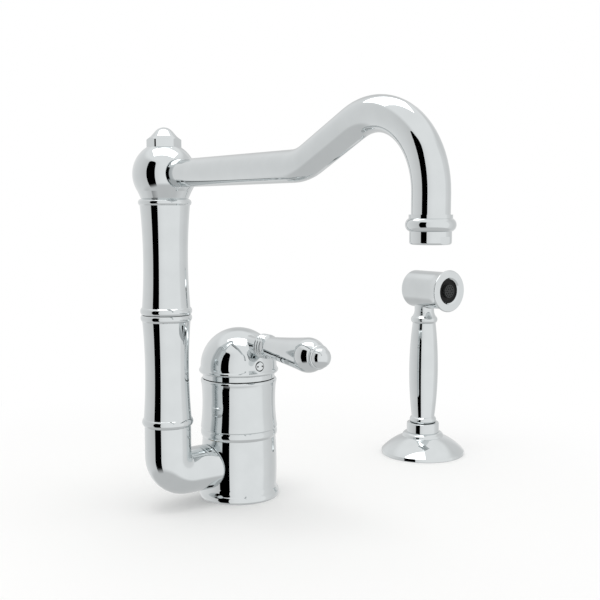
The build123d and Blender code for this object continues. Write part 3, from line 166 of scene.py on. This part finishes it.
finishes = {
    "polished_chrome": polished_chrome_plate(),
    # Brass turned from drawn rod: a warm satin yellow
    "raw_brass": turned_metal("turned_brass", "B08A45", "C9A45C", 0.26, 2.513),
    # Stainless steel, turned or drawn: a cool satin grey
    "stainless_steel": turned_metal("turned_stainless_steel", "9A9A98", "B4B4B2", 0.28, 1.885),
    # Alumina, pressed, fired and lapped flat: an even ivory white with a soft gloss
    "ceramic": moulded("lapped_alumina", "E6E3DA", "F0EEE8", 0.22, 1.76, 0.5, 0.01),
    # Acetal, injection moulded: an off-white, half matt skin
    "white_plastic": moulded("moulded_acetal", "DEDDD8", "E8E7E3", 0.4, 1.48, 0.6, 0.02),
    # ABS, moulded in a spark-eroded tool: near black, with a skin so rough that it mirrors little
    "black_plastic": moulded("moulded_black_abs", "0A0A0A", "121212", 0.55, 1.54, 0.5, 0.02, 0.22),
    # Silicone, moulded soft: a dark grey with a dull sheen
    "dark_grey_plastic": moulded("moulded_grey_silicone", "262828", "303232", 0.5, 1.41, 0.5, 0.02),
    # Nitrile rubber, pressed and cured in a mould: a dull black
    "black_rubber": moulded("moulded_nitrile_rubber", "0E0E0E", "161616", 0.6, 1.52, 0.4, 0.03),
}
# Each solid takes the finish of its material slot in the record
for subpart in frame["record"]["subparts"]:
    piece = frame["nodes"][subpart["node"]]
    piece.data.materials.clear()
    piece.data.materials.append(finishes[subpart["material_slot"]])


def add_object(name, data):
    """Puts a new object with this data into the scene."""
    made = bpy.data.objects.new(name, data)
    bpy.context.scene.collection.objects.link(made)
    return made


def add_piece(name, shape, body, slot):
    """Makes a small piece of the faucet that rides one of the record's bodies."""
    mesh = bpy.data.meshes.new(name)
    shape.to_mesh(mesh)
    shape.free()
    for face in mesh.polygons:
        face.use_smooth = True
    mesh.materials.append(finishes[slot])
    made = add_object(name, mesh)
    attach(made, body)
    return made


def join_rings(shape, rings):
    """Skins one ring of points to the next."""
    loops = [[shape.verts.new(point) for point in ring] for ring in rings]
    for near, far in zip(loops, loops[1:]):
        for i in range(len(near)):
            j = (i + 1) % len(near)
            shape.faces.new((near[i], near[j], far[j], far[i]))
    return loops


# Dark inlays in the index plug's two marks, a little sunk and dished
PLUG_FACE_Y, PLUG_Z = -29.726, 105.2
MARK_X, MARK_R, MARK_SIDES = 2.0, 0.66, 24
# Share of the mark's radius that each ring has, and how far behind the plug's face it lies
MARK_RINGS = ((1.0, 0.48), (1.0, 0.16), (0.85, 0.2), (0.55, 0.25), (0.2, 0.27))
marks = bmesh.new()
for side in (-1, 1):
    rings = []
    for share, sink in MARK_RINGS:
        ring = []
        for i in range(MARK_SIDES):
            turn = math.tau * i / MARK_SIDES
            ring.append(((side * MARK_X + share * MARK_R * math.sin(turn)) * MM,
                         (PLUG_FACE_Y + sink) * MM,
                         (PLUG_Z + share * MARK_R * math.cos(turn)) * MM))
        rings.append(ring)
    loops = join_rings(marks, rings)
    marks.faces.new(loops[-1])
bmesh.ops.recalc_face_normals(marks, faces=marks.faces[:])
add_piece("index_marks", marks, "handle", "dark_grey_plastic")

# Woven wire screen in the mouth of the aerator
OUTLET_X, OUTLET_Y, SCREEN_Z, SCREEN_R = -63.0, -272.3, 206.55, 8.35
WIRE_PITCH, WIRE_R, WIRE_SIDES, WEAVE = 0.8, 0.11, 6, 0.13
STEPS_PER_PITCH, FEWEST_STEPS = 2, 6
WIRES = int(SCREEN_R / WIRE_PITCH)
screen = bmesh.new()
for run in range(2):
    for row in range(-WIRES, WIRES + 1):
        across = row * WIRE_PITCH
        half = math.sqrt(SCREEN_R**2 - across**2)
        steps = max(FEWEST_STEPS, int(STEPS_PER_PITCH * 2 * half / WIRE_PITCH))
        over_or_under = 1 if (row + run) % 2 else -1
        rings = []
        for i in range(steps + 1):
            along = -half + 2 * half * i / steps
            lift = over_or_under * WEAVE * math.cos(math.pi * along / WIRE_PITCH)
            ring = []
            for k in range(WIRE_SIDES):
                turn = math.tau * k / WIRE_SIDES
                side = across + WIRE_R * math.cos(turn)
                x, y = (along, side) if run == 0 else (side, along)
                ring.append(((OUTLET_X + x) * MM, (OUTLET_Y + y) * MM,
                             (SCREEN_Z + lift + WIRE_R * math.sin(turn)) * MM))
            rings.append(ring)
        loops = join_rings(screen, rings)
        screen.faces.new(loops[0])
        screen.faces.new(loops[-1])
bmesh.ops.recalc_face_normals(screen, faces=screen.faces[:])
add_piece("aerator_screen", screen, "spout", "stainless_steel")

# Finial in place of its plainer solid: hexagon with flats on its corners, chamfer, cone and round crown
FINIAL_X, FINIAL_FOOT_Z, FINIAL_TOP_Z, FINIAL_TURN = -63.0, 267.955, 282.27, math.radians(1.6)
FINIAL_SIDES, FACE_R, FACE_STEPS = 6, 11.11, 10
FLAT_R, FLAT_W = 12.46, 1.28
CROWN_R, CROWN_STEPS, CONE_R = 8.3, 9, 9.4
CONE_SLOPE, CHAMFER_SLOPE, SHARP_EDGE = math.radians(49), math.radians(38), math.radians(8)


def finial_point(bearing, reach, z):
    """A point of the finial, by its bearing round the axis, its reach from the axis and its height."""
    turned = bearing + FINIAL_TURN
    return ((FINIAL_X + reach * math.sin(turned)) * MM, -reach * math.cos(turned) * MM, z * MM)


half_flat = math.atan(FLAT_W / 2 / FLAT_R)
face_sweep = math.tau / FINIAL_SIDES - 2 * half_flat
hexagon = []
for corner in range(FINIAL_SIDES):
    corner_at = math.tau * corner / FINIAL_SIDES
    face_at = corner_at + math.pi / FINIAL_SIDES
    hexagon.append((corner_at - half_flat, FLAT_R / math.cos(half_flat)))
    for i in range(FACE_STEPS):
        bearing = corner_at + half_flat + face_sweep * i / FACE_STEPS
        hexagon.append((bearing, FACE_R / math.cos(bearing - face_at)))
crown = []
for k in range(CROWN_STEPS):
    slope = CONE_SLOPE * (1 - k / CROWN_STEPS)
    crown.append((CROWN_R * math.sin(slope), FINIAL_TOP_Z - CROWN_R * (1 - math.cos(slope))))
crown_foot_r, crown_foot_z = crown[0]
cone_foot_z = crown_foot_z - (CONE_R - crown_foot_r) * math.tan(CONE_SLOPE)
chamfer_fall = math.tan(CHAMFER_SLOPE)
rings = [[finial_point(bearing, reach, FINIAL_FOOT_Z) for bearing, reach in hexagon],
         [finial_point(bearing, reach, cone_foot_z - (reach - CONE_R) * chamfer_fall)
          for bearing, reach in hexagon]]
for round_r, z in [(CONE_R, cone_foot_z)] + crown:
    rings.append([finial_point(bearing, round_r, z) for bearing, _ in hexagon])
finial = bmesh.new()
loops = join_rings(finial, rings)
finial.faces.new(loops[0])
finial.faces.new(loops[-1])
bmesh.ops.recalc_face_normals(finial, faces=finial.faces[:])
for edge in finial.edges:
    edge.smooth = edge.calc_face_angle() < SHARP_EDGE
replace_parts(add_piece("acorn_finial", finial, "spout", "polished_chrome"), "finial")


def matt_white_paper(fade_from, fade_to):
    """Uncoated white paper: matt, so it shows a soft shadow, and it fades into white between those metres."""
    material, tree, place = new_material("matt_white_paper")
    reach = add_node(tree, "ShaderNodeVectorMath", links={0: place}, operation="LENGTH")
    far = add_node(tree, "ShaderNodeMapRange", {"From Min": fade_from, "From Max": fade_to},
                   {"Value": reach.outputs["Value"]}, interpolation_type="SMOOTHSTEP")
    path = add_node(tree, "ShaderNodeLightPath")
    fade = add_node(tree, "ShaderNodeMath",
                    links={0: far.outputs["Result"], 1: path.outputs["Is Camera Ray"]}, operation="MULTIPLY")
    paper = add_node(tree, "ShaderNodeBsdfPrincipled", {"Base Color": linear("FAFAF9"), "Roughness": 0.9})
    white = add_node(tree, "ShaderNodeEmission", {"Strength": 1.0})
    sweep = add_node(tree, "ShaderNodeMixShader",
                     links={0: fade.outputs[0], 1: paper.outputs["BSDF"], 2: white.outputs["Emission"]})
    add_node(tree, "ShaderNodeOutputMaterial", links={"Surface": sweep.outputs["Shader"]})
    return material


# Floor: a pale sweep, a hair below the faucet's foot
FLOOR_R, FLOOR_SIDES, FLOOR_DROP = 9.0, 96, 0.05 * MM
FLOOR_FADE_FROM, FLOOR_FADE_TO = 0.1, 0.45
floor_mesh = bpy.data.meshes.new("studio_floor")
disc = bmesh.new()
bmesh.ops.create_circle(disc, cap_ends=True, segments=FLOOR_SIDES, radius=FLOOR_R)
disc.to_mesh(floor_mesh)
disc.free()
floor_mesh.materials.append(matt_white_paper(FLOOR_FADE_FROM, FLOOR_FADE_TO))
floor = add_object("studio_floor", floor_mesh)
floor.location = (0, 0, -FLOOR_DROP)
floor.visible_glossy = False

# Strength of the white walls that metal mirrors, by bearing from the front (0) towards +X, in degrees
WALLS = [(-180, 0.9), (-132, 0.81), (-104, 0.72), (-97, 0.7), (-63, 0.88), (-45, 0.97), (-30, 1.0), (40, 1.0),
         (45, 0.97), (50, 0.87), (64, 0.83), (80, 0.77), (108, 0.76), (122, 0.86), (133, 0.7), (153, 0.7),
         (166, 0.86), (180, 0.9)]
# Strength below and above the walls, and the sines of elevation between which the walls turn into them
BELOW, BELOW_FULL, BELOW_NONE = 0.65, -0.68, -0.5
ABOVE, ABOVE_NONE, ABOVE_FULL = 1.0, 0.6, 0.78
# Strength of the even white that lights all that isn't a mirror
ROOM = 0.93
# Places of a mix node's two colours and of its result
MIX_A, MIX_B, MIXED = 6, 7, 2


def light_studio(world):
    """Gives mirrors the walls by bearing, the camera plain white, and all else an even white room."""
    world.use_nodes = True
    tree = world.node_tree
    tree.nodes.clear()
    place = add_node(tree, "ShaderNodeTexCoord").outputs["Generated"]
    heading = add_node(tree, "ShaderNodeSeparateXYZ", links={"Vector": place})
    front = add_node(tree, "ShaderNodeMath", {1: -1.0}, {0: heading.outputs["Y"]}, operation="MULTIPLY")
    bearing = add_node(tree, "ShaderNodeMath", links={0: heading.outputs["X"], 1: front.outputs[0]},
                       operation="ARCTAN2")
    turn = add_node(tree, "ShaderNodeMapRange", {"From Min": -math.pi, "From Max": math.pi},
                    {"Value": bearing.outputs[0]})
    walls = add_node(tree, "ShaderNodeValToRGB", links={"Fac": turn.outputs["Result"]},
                     stops=[((degrees + 180) / 360, grey(level)) for degrees, level in WALLS])
    low = add_node(tree, "ShaderNodeMapRange", {"From Min": BELOW_FULL, "From Max": BELOW_NONE},
                   {"Value": heading.outputs["Z"]}, interpolation_type="SMOOTHSTEP")
    lower = add_node(tree, "ShaderNodeMix", {MIX_A: grey(BELOW)},
                     {"Factor": low.outputs["Result"], MIX_B: walls.outputs["Color"]}, data_type="RGBA")
    high = add_node(tree, "ShaderNodeMapRange", {"From Min": ABOVE_NONE, "From Max": ABOVE_FULL},
                    {"Value": heading.outputs["Z"]}, interpolation_type="SMOOTHSTEP")
    upper = add_node(tree, "ShaderNodeMix", {MIX_B: grey(ABOVE)},
                     {"Factor": high.outputs["Result"], MIX_A: lower.outputs[MIXED]}, data_type="RGBA")
    mirrored = add_node(tree, "ShaderNodeBackground", {"Strength": 1.0}, {"Color": upper.outputs[MIXED]})
    seen = add_node(tree, "ShaderNodeBackground", {"Color": linear("FFFFFF"), "Strength": 1.0})
    room = add_node(tree, "ShaderNodeBackground", {"Color": linear("FFFFFF"), "Strength": ROOM})
    path = add_node(tree, "ShaderNodeLightPath")
    glossy = add_node(tree, "ShaderNodeMixShader",
                      links={0: path.outputs["Is Glossy Ray"], 1: room.outputs["Background"],
                             2: mirrored.outputs["Background"]})
    direct = add_node(tree, "ShaderNodeMath",
                      links={0: path.outputs["Is Camera Ray"], 1: path.outputs["Is Transmission Ray"]},
                      operation="MAXIMUM")
    studio = add_node(tree, "ShaderNodeMixShader",
                      links={0: direct.outputs[0], 1: glossy.outputs["Shader"],
                             2: seen.outputs["Background"]})
    add_node(tree, "ShaderNodeOutputWorld", links={"Surface": studio.outputs["Shader"]})


bpy.context.scene.world = bpy.data.worlds.new("white_studio")
light_studio(bpy.context.scene.world)

# Camera fitted to the photograph
CAMERA_AT = (-0.38962, -0.60127, 0.22289)
CAMERA_TILT, CAMERA_TURN = math.radians(84.452), math.radians(-36.780)
SENSOR_MM, LENS_MM, NEAREST = 36.0, 55.52, 0.01
lens = bpy.data.cameras.new("photo_camera")
lens.sensor_width = SENSOR_MM
lens.lens = LENS_MM
lens.clip_start = NEAREST
camera = add_object("photo_camera", lens)
camera.location = CAMERA_AT
camera.rotation_euler = (CAMERA_TILT, 0, CAMERA_TURN)
bpy.context.scene.camera = camera

# Overhead softbox, square to the camera; its radiance is the strength that metal shows of it
SOFTBOX_AT, SOFTBOX_W, SOFTBOX_L = (-0.059, -0.037, 0.62), 0.43, 0.24
SOFTBOX_RADIANCE = 1.5
# Watts that an area lamp takes for each square metre and unit of radiance
LAMP_WATTS = 4
lamp = bpy.data.lights.new("overhead_softbox", "AREA")
lamp.shape = "RECTANGLE"
lamp.size, lamp.size_y = SOFTBOX_W, SOFTBOX_L
lamp.energy = LAMP_WATTS * SOFTBOX_W * SOFTBOX_L * SOFTBOX_RADIANCE
softbox = add_object("overhead_softbox", lamp)
softbox.location = SOFTBOX_AT
softbox.rotation_euler = (0, 0, CAMERA_TURN)
softbox.visible_camera = False


def black_velvet(thin_at, full_from):
    """Black pile cloth: it gives back no light, and between those heights it thins out to gauze."""
    material, tree, place = new_material("black_velvet")
    height = add_node(tree, "ShaderNodeSeparateXYZ", links={"Vector": place})
    cover = add_node(tree, "ShaderNodeMapRange", {"From Min": thin_at, "From Max": full_from},
                     {"Value": height.outputs["Z"]}, interpolation_type="SMOOTHSTEP")
    velvet = add_node(tree, "ShaderNodeEmission", {"Color": linear("000000"), "Strength": 0.0})
    gauze = add_node(tree, "ShaderNodeBsdfTransparent")
    cloth = add_node(tree, "ShaderNodeMixShader",
                     links={0: cover.outputs["Result"], 1: gauze.outputs["BSDF"],
                            2: velvet.outputs["Emission"]})
    add_node(tree, "ShaderNodeOutputMaterial", links={"Surface": cloth.outputs["Shader"]})
    return material


# Black flag beside the set, with round corners, which gives the chrome its dark line
FLAG_BEARING, FLAG_REACH, FLAG_HALF_W = math.radians(-79.5), 6.0, 1.78
FLAG_FOOT, FLAG_FULL_FROM, FLAG_TOP = -6.2, -3.4, 5.5
FLAG_CORNER, CORNER_STEPS = 1.1, 8
outline = []
for across, up, start in ((1, FLAG_TOP, 0), (-1, FLAG_TOP, 90), (-1, FLAG_FOOT, 180), (1, FLAG_FOOT, 270)):
    inset = -FLAG_CORNER if up > 0 else FLAG_CORNER
    for i in range(CORNER_STEPS + 1):
        turn = math.radians(start + 90 * i / CORNER_STEPS)
        outline.append((across * (FLAG_HALF_W - FLAG_CORNER) + FLAG_CORNER * math.cos(turn), 0,
                        up + inset + FLAG_CORNER * math.sin(turn)))
flag_mesh = bpy.data.meshes.new("studio_flag")
flag_mesh.from_pydata(outline, [], [range(len(outline))])
flag_mesh.materials.append(black_velvet(FLAG_FOOT, FLAG_FULL_FROM))
flag = add_object("studio_flag", flag_mesh)
flag.location = (FLAG_REACH * math.sin(FLAG_BEARING), -FLAG_REACH * math.cos(FLAG_BEARING), 0)
flag.rotation_euler = (0, 0, FLAG_BEARING)
for way in ("visible_camera", "visible_diffuse", "visible_shadow", "visible_transmission"):
    setattr(flag, way, False)

bpy.context.scene.view_settings.view_transform = "Standard"
